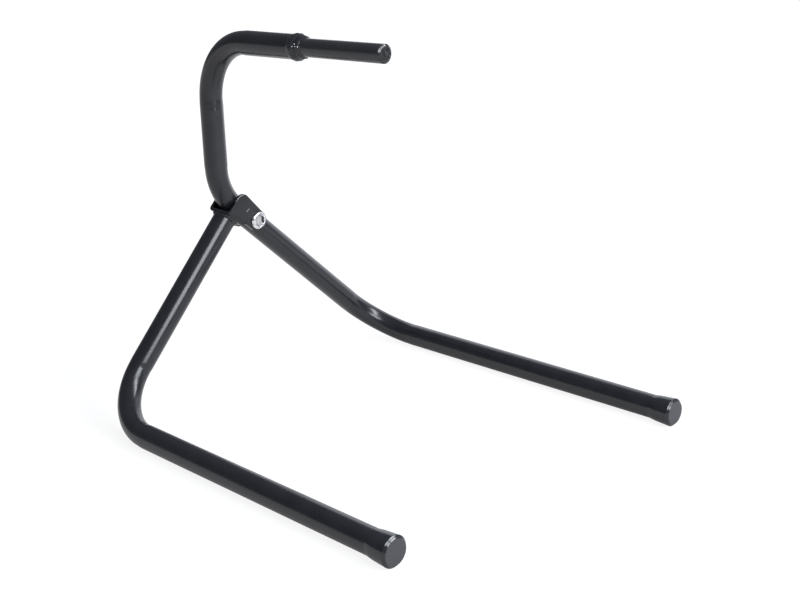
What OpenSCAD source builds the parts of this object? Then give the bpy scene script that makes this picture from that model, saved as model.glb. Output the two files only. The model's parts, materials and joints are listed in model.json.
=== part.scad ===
// Folding floor stand that carries a bicycle by its hollow crank axle.
// One bent tube forms the arm, the upright, the sloping leg and a floor run. A second bent tube is hinged
// to it by a U bracket and folds flat beside the sloping leg. Millimetres, +Z up, floor at z = 0.

/* [Tubes] */
// Outer diameter of both bent tubes
tube_od = 22; // [20:0.5:25]
// Wall of both bent tubes
tube_wall = 1.5; // [1:0.1:2.5]
// Centre-line radius of every bend
bend_r = 57; // [50:1:64]
// Shrink of the tube's radius in the bends
bend_slim = 0.1; // [0.05:0.01:0.2]

/* [Stance] */
// Height of the support pin's axis where it crosses the upright
pin_height = 342.5; // [300:0.5:380]
// Upright, from the pin's axis down to the corner of the sloping leg
upright_len = 144; // [120:1:170]
// Sloping leg's angle from the vertical
slope_angle = 47.5; // [42:0.5:52]
// Fixed floor run, from the upright's axis to the face of its foot cap
fixed_reach = 384.5; // [320:0.5:440]
// Folding floor run, from the upright's axis to the face of its foot cap
folding_reach = 370; // [320:0.5:440]

/* [Support pin] */
// Outer diameter of the support pin
pin_od = 16; // [14:0.5:17]
// Wall of the support pin
pin_wall = 2; // [1.5:0.1:3]
// Step down of the pin's radius where it sits in its bush
pin_step = 0.3; // [0.1:0.1:0.6]
// Upward tilt of the arm and the pin
pin_tilt = 1; // [0:0.1:3]
// Arm tube, from the upright's axis to its cut end
arm_len = 125.5; // [100:0.5:150]
// Pin's tip, from the upright's axis
pin_reach = 231.5; // [200:0.5:260]
// Bush inside the arm
bush_inside = 24; // [15:1:30]
// Length of the weld bead round the arm's end
arm_weld_len = 12.5; // [11:0.5:16]
// Height of that bead above the arm tube
arm_weld_proud = 1; // [0.5:0.1:1.6]
// Bare bush between the two weld beads
bush_gap = 0.5; // [0.2:0.1:4]
// Length of the weld bead round the pin
pin_weld_len = 7.5; // [7:0.5:12]
// Height of that bead above the bush
pin_weld_proud = 0.9; // [0.5:0.1:1.5]
// Thickness of the tip plug's head
plug_head = 2; // [1.5:0.1:3]
// Rounding of the plug head's edge
plug_round = 1.2; // [0.6:0.1:1.4]
// Length of the plug's stem inside the pin
plug_stem = 12; // [8:1:20]
// Diameter of the small moulded nub on the plug
nub_d = 3.6; // [2:0.2:5]
// Height of the nub
nub_h = 0.8; // [0.4:0.1:1.2]

/* [Hinge] */
// Hinge bolt's distance along the sloping leg from the end of its bend
hinge_from_bend = 21.5; // [19:0.5:26]
// Gap between the two tubes when the stand is folded
fold_gap = 2.5; // [2:0.1:5]
// Thickness of the bracket's sheet
sheet_t = 3; // [2:0.1:4]
// Inside radius of the bracket's bends
sheet_bend_r = 1.5; // [1:0.1:2.5]
// Radius of the ears' end round the bolt
ear_end_r = 10.2; // [10:0.1:12]
// Shift of that round end towards the folding leg
ear_end_drop = 0.7; // [0:0.1:2.5]
// Ears' height above the sloping leg's axis at their tail
ear_tail_rise = 12; // [10:0.5:15]
// Corner radius at the ears' tail
ear_tail_r = 8; // [4:0.5:9]
// Folding leg's overhang past the bracket's tail
tail_short = 1; // [0:0.1:1.3]
// Web's distance from the sloping leg when folded
web_clear = 1; // [0.6:0.1:1.2]
// Size of the weld bead round the folding leg's top
leg_weld_size = 2; // [1.5:0.1:2.4]

/* [Fasteners] */
// Thread diameter of the hinge bolt
bolt_d = 10; // [8:1:10]
// Diameter of the low round head
head_d = 17; // [16:0.5:18]
// Height of the head
head_h = 2.8; // [2.4:0.1:3.6]
// Straight rim at the foot of the head
head_rim = 0.8; // [0.4:0.1:1.2]
// Flat on top of the head
head_flat_d = 11; // [9:0.5:12]
// Hexagon socket, across flats
socket_af = 6; // [5:0.5:6.5]
// Depth of the socket
socket_depth = 2.2; // [1.5:0.1:3]
// Outer diameter of the pivot sleeve
sleeve_od = 13; // [12.5:0.1:14]
// Outer diameter of the friction washers
friction_od = 18; // [16:0.5:20]
// Thickness of a friction washer
friction_t = 1; // [0.5:0.1:1.5]
// Outer diameter of the nut's washer
washer_od = 18; // [17:0.5:20]
// Thickness of the nut's washer
washer_t = 1.6; // [1:0.1:2.5]
// Lock nut, across flats
nut_af = 16; // [15:0.5:17]
// Height of the lock nut's hexagon
nut_h = 7; // [6:0.1:9]
// Height of the round collar that holds the nylon ring
nut_collar_h = 3; // [2.5:0.1:4]
// Wall of that collar
nut_collar_wall = 1; // [0.8:0.1:1.2]
// Bolt's thread standing out of the nut
bolt_proud = 1.5; // [0.5:0.1:3]
// Chamfer at the bolt's end
bolt_chamfer = 1; // [0.5:0.1:1.5]

/* [Foot caps] */
// Length of a foot cap
cap_len = 22.5; // [18:0.5:30]
// Thickness of a foot cap's end wall
cap_face = 3; // [2:0.1:5]
// Wall of a foot cap behind its mouth
cap_wall = 1; // [0.8:0.1:2]
// Growth of a foot cap's radius from its mouth to its face
cap_flare = 1; // [0.5:0.1:2]
// Length of the chamfer at a foot cap's mouth
cap_chamfer = 1; // [0.5:0.1:2]
// Wall left at the tip of that chamfer
cap_lip = 0.5; // [0.3:0.1:0.7]
// Rounding of a foot cap's outer rim
cap_round = 1.2; // [0.8:0.1:1.4]
// Rim outside the groove on a foot cap's face
cap_rim = 1.5; // [1.5:0.1:3]
// Width and depth of that groove
cap_groove = 0.7; // [0.4:0.1:0.9]

/* [Clearances] */
// Radial play of pieces pushed into or onto each other
push_fit = 0.05; // [0.02:0.01:0.1]
// Radial play of the sleeve on the hinge bolt
running_fit = 0.05; // [0.02:0.01:0.1]
// End play of the sleeve between the friction washers
side_play = 0.1; // [0.05:0.01:0.2]
// Pivot sleeve standing out of the tube on each side
sleeve_proud = 0.5; // [0.3:0.1:1]
// Gap between the web and the sloping leg when the stand is open
stop_gap = 0.3; // [0.3:0.05:0.6]

/* [Hidden] */
$fn = 72;
eps = 0.01;
x_axis = [1, 0, 0];

// A bend runs on into its straights by this many degrees, and they taper into it over the nose's length
bend_lap = 0.3;
nose_len = 0.6;
nose_slope = 2 * bend_slim / nose_len;

tube_r = tube_od / 2;
tube_bore = tube_od - 2 * tube_wall;
cap_mouth_r = tube_r + push_fit;
cap_r = cap_mouth_r + cap_wall + cap_flare;
coat = "#26272b";
zinc = "#c9ccd1";
moulding = "#2c2d30";

// Floor runs rise a little, so that the bends and the wider caps both rest on the floor
function run_rise(reach) = atan((cap_r - tube_r) / (reach - cap_round - bend_r));
function run_dir(reach) = [cos(run_rise(reach)), 0, sin(run_rise(reach))];
function corner_z(reach) = tube_r * cos(run_rise(reach)) - bend_r * sin(run_rise(reach));

// Directions and corners of the fixed tube
arm_dir = [cos(pin_tilt), 0, sin(pin_tilt)];
slope_dir = [0, sin(slope_angle), -cos(slope_angle)];
fold_dir = [0, -cos(slope_angle), -sin(slope_angle)];
arm_corner = [0, 0, pin_height];
slope_corner = [0, 0, pin_height - upright_len];
fixed_slope = (slope_corner.z - corner_z(fixed_reach)) / cos(slope_angle);
fixed_corner = slope_corner + fixed_slope * slope_dir;
fixed_dir = run_dir(fixed_reach);
main_path = [
    arm_corner + arm_len * arm_dir, arm_corner, slope_corner, fixed_corner,
    fixed_corner + (fixed_reach - cap_face) * fixed_dir
];

// Hinge: its local x runs along the folding leg, y down the sloping leg and z along the bolt
hinge_drop = bend_r * tan(slope_angle / 2) + hinge_from_bend;
pivot = slope_corner + hinge_drop * slope_dir;
leg_offset = tube_od + fold_gap;
web_in = tube_r + stop_gap;
web_out = web_in + sheet_t;
web_end = tube_r + web_clear;
tail_end = leg_offset + tube_r - tail_short;
sleeve_half = tube_r + sleeve_proud;
ear_in = sleeve_half + side_play + friction_t;
ear_out = ear_in + sheet_t;
nut_seat = ear_out + washer_t;
bolt_tail = nut_seat + nut_h + nut_collar_h + bolt_proud;

// Corners of the folding tube
leg_top = pivot - leg_offset * slope_dir + web_out * fold_dir;
folding_slope = (leg_top.z - corner_z(folding_reach)) / sin(slope_angle);
folding_corner = leg_top + folding_slope * fold_dir;
folding_dir = run_dir(folding_reach);
folding_path = [leg_top, folding_corner, folding_corner + (folding_reach - cap_face) * folding_dir];

// Support pin, as distances along the arm from the upright's axis
pin_r = pin_od / 2;
pin_end = pin_reach - plug_head;
bush_r = tube_bore / 2 - push_fit;
seat_r = pin_r - pin_step;
shoulder_len = 2 * pin_step;
arm_weld_rise = tube_r + arm_weld_proud - bush_r;
pin_weld_rise = bush_r + pin_weld_proud - seat_r;
pin_weld_lap = arch_half(pin_weld_len, pin_weld_rise, bush_r - seat_r);
bush_start = arm_len - bush_inside;
bush_end = arm_len + arm_weld_len / 2 + bush_gap + pin_weld_lap;

// Middle of the stand's footprint, where the origin lies
middle = [(fixed_reach - bolt_tail) / 2, (fixed_corner.y + folding_corner.y) / 2, 0];

// Low arch with a given chord and rise: its radius, and its half length at a height above the chord
function arch_radius(len, rise) = (len * len / 4 + rise * rise) / (2 * rise);
function arch_half(len, rise, h) = sqrt(arch_radius(len, rise) ^ 2 - (arch_radius(len, rise) - rise + h) ^ 2);

function unit(v) = v / norm(v);
function across(v) = unit(cross(abs(v.x) < 0.9 ? x_axis : [0, 1, 0], v));

// Rigid placement with the given origin and local axes
function placed(at, x, y, z) = [
    [x.x, y.x, z.x, at.x], [x.y, y.y, z.y, at.y], [x.z, y.z, z.z, at.z], [0, 0, 0, 1]
];

module in_row() {
    translate(-middle) children();
}

// Puts the children's z axis along a direction
module along(at, dir) {
    multmatrix(placed(at, across(dir), cross(dir, across(dir)), dir)) children();
}

module at_arm(distance) {
    in_row() along(arm_corner + distance * arm_dir, arm_dir) children();
}

module at_hinge() {
    in_row() multmatrix(placed(pivot, fold_dir, slope_dir, x_axis)) children();
}

module ring(outer_d, inner_d, h) {
    linear_extrude(h) difference() {
        circle(d = outer_d);
        circle(d = inner_d);
    }
}

// Bent tube through corner points
function heading(path, i) = unit(path[i + 1] - path[i]);
function turn(path, i) = acos(heading(path, i - 1) * heading(path, i));
function setback(path, i) = i == 0 || i == len(path) - 1 ? 0 : bend_r * tan(turn(path, i) / 2);

// Straight rod whose ends at a bend taper into it, because a tube draws in a little as it is bent
module straight(from, to, r, nose_from, nose_to) {
    length = norm(to - from);
    along(from, unit(to - from)) rotate_extrude() polygon([
        [0, -nose_from], [r - nose_from * nose_slope, -nose_from], [r, 0],
        [r, length], [r - nose_to * nose_slope, length + nose_to], [0, length + nose_to]
    ]);
}

module bend(corner, dir_in, dir_out, angle, r) {
    inward = unit(dir_out - (dir_in * dir_out) * dir_in);
    centre = corner - bend_r * tan(angle / 2) * dir_in + bend_r * inward;
    multmatrix(placed(centre, -inward, dir_in, cross(-inward, dir_in)))
        rotate(-bend_lap) rotate_extrude(angle = angle + 2 * bend_lap)
            translate([bend_r, 0]) circle(r - bend_slim);
}

module bent_rod(path, r, over) {
    last = len(path) - 1;
    for (i = [0 : last - 1])
        straight(
            path[i] + (i == 0 ? -over : setback(path, i)) * heading(path, i),
            path[i + 1] - (i == last - 1 ? -over : setback(path, i + 1)) * heading(path, i),
            r, i == 0 ? 0 : nose_len, i == last - 1 ? 0 : nose_len
        );
    for (i = [1 : last - 1])
        bend(path[i], heading(path, i - 1), heading(path, i), turn(path, i), r);
}

module bent_tube(path) {
    difference() {
        bent_rod(path, tube_r, 0);
        bent_rod(path, tube_bore / 2, eps);
    }
}

// Weld bead round a shaft: a low arch on the shaft's surface, seated against the wider sleeve's end
module weld_ring(shaft_r, sleeve_r, len, rise) {
    arch_r = arch_radius(len, rise);
    rotate_extrude() difference() {
        intersection() {
            translate([shaft_r + rise - arch_r, 0]) circle(arch_r);
            translate([shaft_r, -len / 2]) square([rise, len]);
        }
        translate([0, -len]) square([sleeve_r, len]);
    }
}

// Profile with one rounded outer corner at the top
module rounded_post(r, h, round) {
    square([r, h - round]);
    square([r - round, h]);
    intersection() {
        translate([r - round, h - round]) circle(round);
        square([r, h]);
    }
}

// Foot cap: a cup that flares from its mouth at z = 0 to its grooved face at z = cap_len
module foot_cap() {
    rotate_extrude() difference() {
        intersection() {
            rounded_post(cap_r, cap_len, cap_round);
            polygon([
                [0, 0], [cap_mouth_r + cap_lip, 0], [cap_mouth_r + cap_wall, cap_chamfer],
                [cap_r, cap_len - cap_round], [cap_r, cap_len], [0, cap_len]
            ]);
        }
        square([cap_mouth_r, cap_len - cap_face]);
        translate([cap_r - cap_rim - cap_groove, cap_len - cap_groove]) square([cap_groove, cap_groove + eps]);
    }
}

// Bracket's ear outline, x towards the folding leg and y down the sloping leg
ear_end = [ear_end_drop, 0];
ear_tail = [ear_tail_r - ear_tail_rise, ear_tail_r - tail_end];
ear_span = ear_end - ear_tail;
ear_tilt = atan2(ear_span.y, ear_span.x) + acos((ear_tail_r - ear_end_r) / norm(ear_span));
ear_normal = [cos(ear_tilt), sin(ear_tilt)];
ear_reach = ear_tail_rise + ear_end_r;

// Block of the ears' outline, as wide as the bracket
module ear_block() {
    translate([0, 0, -ear_out]) {
        translate(ear_end) cylinder(r = ear_end_r, h = 2 * ear_out);
        translate(ear_tail) cylinder(r = ear_tail_r, h = 2 * ear_out);
        linear_extrude(2 * ear_out) polygon([
            ear_tail + (ear_tail_r - eps) * ear_normal,
            ear_end + (ear_end_r - eps) * ear_normal,
            ear_end,
            ear_end + [ear_end_r - eps, 0],
            [ear_end_drop + ear_end_r - eps, -web_end],
            [web_out, -web_end],
            [web_out, -tail_end],
            [ear_tail.x, eps - tail_end]
        ]);
    }
}

// Solid U outline of the folded sheet, x towards the folding leg and y along the bolt
module sheet_outline(depth, half, corner_r) {
    translate([-ear_reach, -half]) square([ear_reach + depth - corner_r, 2 * half]);
    translate([0, corner_r - half]) square([depth, 2 * (half - corner_r)]);
    for (side = [-1, 1])
        translate([depth - corner_r, side * (half - corner_r)]) circle(corner_r);
}

module along_web() {
    translate([0, -tail_end, 0]) rotate([-90, 0, 0]) linear_extrude(tail_end - web_end) children();
}

// Room on the bolt's side of the web, of a given half width along the bolt
module past_web(half) {
    translate([-ear_reach, -web_end, -half]) cube([2 * ear_reach, web_end + 2 * ear_end_r, 2 * half]);
}

module main_tube() {
    color(coat) difference() {
        in_row() bent_tube(main_path);
        at_hinge() cylinder(d = sleeve_od + 2 * push_fit, h = 2 * tube_od, center = true);
    }
}

module arm_bush() {
    color(coat) at_arm(bush_start) ring(2 * bush_r, 2 * (seat_r + push_fit), bush_end - bush_start);
}

module arm_weld() {
    color(coat) at_arm(arm_len) weld_ring(bush_r, tube_r, arm_weld_len, arm_weld_rise);
}

module support_pin() {
    bore_r = pin_r - pin_wall;
    seat_len = bush_end + pin_weld_len / 2 - bush_start;
    length = pin_end - bush_start;
    color(coat) at_arm(bush_start) rotate_extrude() polygon([
        [bore_r, 0], [seat_r, 0], [seat_r, seat_len], [pin_r, seat_len + shoulder_len],
        [pin_r, length], [bore_r, length]
    ]);
}

module pin_weld() {
    color(coat) at_arm(bush_end) weld_ring(seat_r, bush_r, pin_weld_len, pin_weld_rise);
}

module pin_tip_plug() {
    color(moulding) at_arm(pin_end) {
        rotate_extrude() rounded_post(pin_r, plug_head, plug_round);
        translate([0, 0, -plug_stem]) cylinder(r = pin_r - pin_wall - push_fit, h = plug_stem);
        translate([0, 0, plug_head]) rotate_extrude() rounded_post(nub_d / 2, nub_h, nub_h / 2);
    }
}

module pivot_sleeve() {
    color(zinc) at_hinge() translate([0, 0, -sleeve_half])
        ring(sleeve_od, bolt_d + 2 * running_fit, 2 * sleeve_half);
}

module fixed_foot_cap() {
    color(moulding) in_row()
        along(fixed_corner + (fixed_reach - cap_len) * fixed_dir, fixed_dir) foot_cap();
}

module folding_leg() {
    color(coat) in_row() bent_tube(folding_path);
}

module hinge_bracket() {
    color(coat) at_hinge() difference() {
        intersection() {
            ear_block();
            union() {
                along_web() sheet_outline(web_out, ear_out, sheet_bend_r + sheet_t);
                past_web(ear_out);
            }
        }
        translate([0, -eps, 0]) along_web() sheet_outline(web_in, ear_in, sheet_bend_r);
        translate([0, -2 * eps, 0]) past_web(ear_in);
        cylinder(d = bolt_d + 2 * push_fit, h = 3 * ear_out, center = true);
    }
}

module leg_weld() {
    color(coat) at_hinge() difference() {
        translate([web_out, -leg_offset, 0]) rotate([0, 90, 0]) rotate_extrude() {
            translate([tube_r, 0]) intersection() {
                circle(leg_weld_size);
                square(leg_weld_size);
            }
            translate([tube_r, -sheet_t]) square([leg_weld_size, sheet_t]);
        }
        along_web() sheet_outline(web_out, ear_out, sheet_bend_r + sheet_t);
        for (y = [-tail_end - tube_od, -web_end])
            translate([0, y, -tube_od]) cube([2 * tube_od, tube_od, 2 * tube_od]);
    }
}

module pivot_bolt() {
    head_r = head_d / 2;
    dome_run = head_r - head_flat_d / 2;
    dome_rise = head_h - head_rim;
    dome_r = (dome_run * dome_run + dome_rise * dome_rise) / (2 * dome_rise);
    color(zinc) at_hinge() difference() {
        union() {
            translate([0, 0, ear_out]) rotate_extrude() {
                square([head_r, head_rim]);
                intersection() {
                    translate([0, head_rim]) square([head_r, dome_rise]);
                    union() {
                        square([head_flat_d / 2, head_h]);
                        translate([head_flat_d / 2, head_h - dome_r]) circle(dome_r);
                    }
                }
            }
            translate([0, 0, -bolt_tail + bolt_chamfer])
                cylinder(d = bolt_d, h = bolt_tail + ear_out - bolt_chamfer + eps);
            translate([0, 0, -bolt_tail])
                cylinder(d1 = bolt_d - 2 * bolt_chamfer, d2 = bolt_d, h = bolt_chamfer);
        }
        translate([0, 0, ear_out + head_h - socket_depth])
            cylinder(d = socket_af / cos(30), h = socket_depth + eps, $fn = 6);
    }
}

module friction_washer(side) {
    color(moulding) at_hinge() translate([0, 0, side * (ear_in - friction_t / 2) - friction_t / 2])
        ring(friction_od, bolt_d + 2 * push_fit, friction_t);
}

module friction_washer_front() {
    friction_washer(1);
}

module friction_washer_rear() {
    friction_washer(-1);
}

module nut_washer() {
    color(zinc) at_hinge() translate([0, 0, -nut_seat])
        ring(washer_od, bolt_d + 2 * push_fit, washer_t);
}

module lock_nut() {
    collar_r = nut_af / 2 - eps;
    color(zinc) at_hinge() translate([0, 0, -nut_seat]) mirror([0, 0, 1]) difference() {
        union() {
            intersection() {
                cylinder(d = nut_af / cos(30), h = nut_h, $fn = 6);
                rotate_extrude() rounded_post(nut_af / 2 / cos(30), nut_h, nut_af / 16);
            }
            cylinder(r = collar_r, h = nut_h + nut_collar_h);
        }
        translate([0, 0, -eps]) cylinder(d = bolt_d + 2 * push_fit, h = nut_h + 2 * eps);
        translate([0, 0, nut_h])
            cylinder(r = collar_r - nut_collar_wall, h = nut_collar_h + eps);
    }
}

module nut_insert() {
    color("#3d6fb0") at_hinge() translate([0, 0, -nut_seat - nut_h]) mirror([0, 0, 1])
        ring(nut_af - 2 * nut_collar_wall - 2 * push_fit, bolt_d + 2 * push_fit, nut_collar_h);
}

module folding_foot_cap() {
    color(moulding) in_row()
        along(folding_corner + (folding_reach - cap_len) * folding_dir, folding_dir) foot_cap();
}

main_tube();
arm_bush();
arm_weld();
support_pin();
pin_weld();
pin_tip_plug();
pivot_sleeve();
fixed_foot_cap();
folding_leg();
hinge_bracket();
leg_weld();
pivot_bolt();
friction_washer_front();
friction_washer_rear();
nut_washer();
lock_nut();
nut_insert();
folding_foot_cap();
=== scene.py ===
import json
import math

import bmesh
import bpy
from mathutils import Matrix, Quaternion, Vector, noise


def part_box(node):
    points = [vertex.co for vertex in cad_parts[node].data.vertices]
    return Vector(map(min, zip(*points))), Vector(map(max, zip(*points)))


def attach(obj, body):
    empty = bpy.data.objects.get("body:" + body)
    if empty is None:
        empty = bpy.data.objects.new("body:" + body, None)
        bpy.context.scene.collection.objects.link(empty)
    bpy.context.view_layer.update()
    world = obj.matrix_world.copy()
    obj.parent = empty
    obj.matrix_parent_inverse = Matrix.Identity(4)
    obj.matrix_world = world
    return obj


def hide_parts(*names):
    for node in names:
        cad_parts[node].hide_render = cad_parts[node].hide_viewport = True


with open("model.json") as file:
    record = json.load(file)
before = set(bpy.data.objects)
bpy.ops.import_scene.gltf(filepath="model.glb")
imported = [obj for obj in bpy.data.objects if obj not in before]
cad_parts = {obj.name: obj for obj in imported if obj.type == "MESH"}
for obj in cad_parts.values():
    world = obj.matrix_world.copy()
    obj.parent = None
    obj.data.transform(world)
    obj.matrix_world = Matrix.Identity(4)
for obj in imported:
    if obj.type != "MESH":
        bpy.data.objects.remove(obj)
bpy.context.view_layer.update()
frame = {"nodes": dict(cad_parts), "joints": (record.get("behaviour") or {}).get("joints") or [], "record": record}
print("frame loaded:", len(frame["nodes"]), "nodes")

mm = 0.001  # pieces are drawn in millimetres and scaled when they are placed
fullTurn = 2 * math.pi
sharpDeg = 40  # an edge that bends more than this is drawn sharp
touching = 0.01  # points of a sheet closer than this are one point
rounding = 1e-4  # how far a computed coordinate may stray
scene = bpy.context.scene

# The hinge, the pin's axis and the foot caps come from the frame
hingeJoint = frame["joints"][0]
pinMount = frame["record"]["mounts"][0]
pivot = Vector(hingeJoint["pos_m"]) / mm
boltDir = Vector(hingeJoint["axis"])
armDir = Vector(pinMount["axis"]).normalized()
pinMiddle = Vector(pinMount["pos_m"]) / mm
pinRad = pinMount["dims"]["r_mm"]

stand = {
    "tubeDia": 22.0, "tubeWall": 1.5, "bendRad": 57.0, "slopeDeg": 47.5, "armLen": 125.5, "foldGap": 2.5,
    "stopGap": 0.3, "sheet": 3.0, "capFace": 3.0, "capRound": 1.2, "pushFit": 0.05,
}


def nodeBox(node):
    low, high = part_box(node)
    return low / mm, high / mm


def alongBolt(node):  # a hinge piece's two ends, measured from the middle of the tube
    low, high = nodeBox(node)
    return low.x - pivot.x, high.x - pivot.x


tubeRad = stand["tubeDia"] / 2
slopeRad = math.radians(stand["slopeDeg"])
slopeDir = Vector((0, math.sin(slopeRad), -math.cos(slopeRad)))
foldDir = Vector((0, -math.cos(slopeRad), -math.sin(slopeRad)))
legOffset = stand["tubeDia"] + stand["foldGap"]
webIn = tubeRad + stand["stopGap"]
webOut = webIn + stand["sheet"]
armCorner = pinMiddle + armDir * ((pivot.x - pinMiddle.x) / armDir.x)
slopeCorner = pivot + slopeDir * ((armCorner.y - pivot.y) / slopeDir.y)
legTop = pivot - slopeDir * legOffset + foldDir * webOut


def floorRun(start, heading, cap):  # a sloping tube's lower corner, its floor run's direction and end
    low, high = nodeBox(cap)
    capRad = (high.y - low.y) / 2
    reach = high.x - pivot.x
    touchSpan = reach - stand["capRound"] - stand["bendRad"]
    rise = math.atan((capRad - tubeRad) / touchSpan)  # the bend and the cap both touch the floor
    runDir = Vector((math.cos(rise), 0, math.sin(rise)))
    cornerHigh = tubeRad * runDir.x - stand["bendRad"] * runDir.z
    corner = start + heading * ((cornerHigh - start.z) / heading.z)
    faceLean = (capRad - stand["capRound"]) * runDir.z
    return corner, runDir, corner + runDir * (reach - faceLean - stand["capFace"])


fixedCorner, fixedDir, fixedEnd = floorRun(slopeCorner, slopeDir, "fixed_foot_cap")
foldingCorner, foldingDir, foldingEnd = floorRun(legTop, foldDir, "folding_foot_cap")


def placeAxes(origin, xDir, yDir, zDir):
    turned = Matrix((xDir, yDir, zDir)).transposed().to_4x4()
    return Matrix.Translation(origin) @ turned


def placeAlong(origin, zDir):
    hint = Vector((0, 1, 0)) if abs(zDir.x) > 0.9 else Vector((1, 0, 0))  # any direction well off zDir
    xDir = hint.cross(zDir).normalized()
    return placeAxes(origin, xDir, zDir.cross(xDir), zDir)


hingePlace = placeAxes(pivot, foldDir, slopeDir, boltDir)


# Shader wiring
class Wire:
    def __init__(self, tree, socket=None):
        self.tree = tree
        self.socket = socket

    def add(self, kind, settings=None, sockets=None, out=0):
        node = self.tree.nodes.new("ShaderNode" + kind)
        for key, value in (settings or {}).items():
            setattr(node, key, value)
        for key, value in (sockets or {}).items():
            if isinstance(value, Wire):
                self.tree.links.new(value.socket, node.inputs[key])
            else:
                node.inputs[key].default_value = value
        return Wire(self.tree, node.outputs[out]) if node.outputs else None

    def maths(self, operation, first, second):
        return self.add("Math", {"operation": operation}, {0: first, 1: second})

    def __add__(self, other):
        return self.maths("ADD", self, other)

    def __radd__(self, other):
        return self.maths("ADD", other, self)

    def __sub__(self, other):
        return self.maths("SUBTRACT", self, other)

    def __rsub__(self, other):
        return self.maths("SUBTRACT", other, self)

    def __mul__(self, other):
        return self.maths("MULTIPLY", self, other)

    def __rmul__(self, other):
        return self.maths("MULTIPLY", other, self)

    def ease(self, low, high):  # smooth step from 0 to 1
        return self.add("MapRange", {"interpolation_type": "SMOOTHSTEP"},
                        {"Value": self, "From Min": low, "From Max": high})

    def swing(self, spread):  # a noise from 0 to 1 as a spread about zero
        return spread * (self - 0.5)

    def blend(self, first, second):  # this mask mixes two colours
        return self.add("Mix", {"data_type": "RGBA"}, {0: self, 6: first, 7: second}, out=2)

    def noise(self, scale, detail=2):
        return self.add("TexNoise", {}, {"Vector": self, "Scale": scale, "Detail": detail})

    def stretched(self, factors):
        return self.add("VectorMath", {"operation": "MULTIPLY"}, {0: self, 1: factors})

    def axis(self, letter):
        return self.add("SeparateXYZ", {}, {0: self}, out=letter)


def newMaterial(name):  # an empty material, the start of its wires, and the place on the object
    material = bpy.data.materials.new(name)
    material.use_nodes = True
    material.node_tree.nodes.clear()
    start = Wire(material.node_tree)
    return material, start, start.add("TexCoord", out="Object")


def finishMaterial(material, look, colour, rough, height, more=None):
    start = Wire(material.node_tree)
    normal = start.add("Bump", {}, {"Strength": look["bump"], "Distance": look["bumpDeep"], "Height": height})
    sockets = {"Base Color": colour, "Roughness": rough, "Normal": normal, **(more or {})}
    start.add("OutputMaterial", {}, {"Surface": start.add("BsdfPrincipled", {}, sockets)})
    return material


def rgb(red, green, blue):
    return (red, green, blue, 1)


def floorScuff(here, look):  # wear on what comes near the floor
    low = 1 - here.axis("Z").ease(0.0, look["scuffTop"])
    return low * here.noise(look["scuff"], detail=4).ease(*look["scuffEase"])


blackCoat = {
    "deep": rgb(0.0128, 0.013, 0.017), "thin": rgb(0.0175, 0.0177, 0.022), "dust": rgb(0.11, 0.11, 0.115),
    "bare": rgb(0.3, 0.3, 0.305), "rough": 0.24, "ior": 1.5, "bump": 0.05, "bumpDeep": 0.0006,
    "patch": 55, "patchEase": (0.3, 0.7), "patchRough": 0.08, "peel": 620,
    "grain": 3800, "grainRough": 0.06, "grainHeight": 0.25,
    "speck": 420, "speckEase": (0.05, 0.13), "pickShare": 0.37, "pickEase": (0.6, 0.68),
    "upEase": (-0.2, 0.7), "dustCover": 0.55, "dustRough": 0.25, "dustHeight": 0.6,
    "rub": 260, "rubEdge": (0.3, 0.95), "rubEase": (0.42, 0.62), "rubCover": 0.5,
    "scuff": 330, "scuffTop": 0.0018, "scuffEase": (0.45, 0.6), "scuffCover": 0.4, "scuffRough": 0.2,
    "chip": 2400, "chipRagged": 1.3, "chipCore": 0.6, "lump": 190, "lumpRough": 0.08, "lumpHeight": 3,
}
# darker copy of the coat for the bracket: painted shade
bracketPaintedShadeCoat = {"deep": rgb(0.0065, 0.0067, 0.009), "thin": rgb(0.01, 0.0102, 0.013)}
pinPaintedLightCoat = {"deep": rgb(0.026, 0.0262, 0.03), "thin": rgb(0.031, 0.0312, 0.035)}  # paler copy of the coat for the pin: painted light


def coatPaint(name, changes=None, lumpy=0.0, chips=()):  # satin black, with peel, dust, rubs and scuffs
    look = {**blackCoat, **(changes or {})}
    material, start, here = newMaterial(name)
    facing = start.add("NewGeometry", out="Normal").axis("Z")
    edge = start.add("Attribute", {"attribute_name": "edge"}, out="Fac")
    patch = here.noise(look["patch"], detail=3)
    peel = here.noise(look["peel"])
    grain = here.noise(look["grain"])
    speck = start.add("TexVoronoi", {}, {"Vector": here, "Scale": look["speck"]}, out="Distance")
    pick = here.noise(look["speck"] * look["pickShare"], detail=1)
    dust = (1 - speck.ease(*look["speckEase"])) * pick.ease(*look["pickEase"]) * facing.ease(*look["upEase"])
    rub = edge.ease(*look["rubEdge"]) * here.noise(look["rub"], detail=3).ease(*look["rubEase"])
    scuff = floorScuff(here, look)
    colour = patch.ease(*look["patchEase"]).blend(look["deep"], look["thin"])
    colour = (dust * look["dustCover"]).blend(colour, look["dust"])
    colour = (rub * look["rubCover"]).blend(colour, look["bare"])
    colour = (scuff * look["scuffCover"]).blend(colour, look["dust"])
    for spot, size in chips:  # coat knocked off down to the steel
        reach = size * mm
        away = start.add("VectorMath", {"operation": "DISTANCE"}, {0: here, 1: spot * mm}, out="Value")
        ragged = away + here.noise(look["chip"], detail=3).swing(reach * look["chipRagged"])
        colour = (1 - ragged.ease(reach * look["chipCore"], reach)).blend(colour, look["bare"])
    rough = look["rough"] + patch.swing(look["patchRough"]) + grain.swing(look["grainRough"])
    rough = rough + look["dustRough"] * dust + look["scuffRough"] * scuff + look["lumpRough"] * lumpy
    lumps = lumpy * look["lumpHeight"] * here.noise(look["lump"], detail=3)
    height = peel + look["grainHeight"] * grain + lumps + look["dustHeight"] * dust
    return finishMaterial(material, look, colour, rough, height, {"IOR": look["ior"]})


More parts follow.
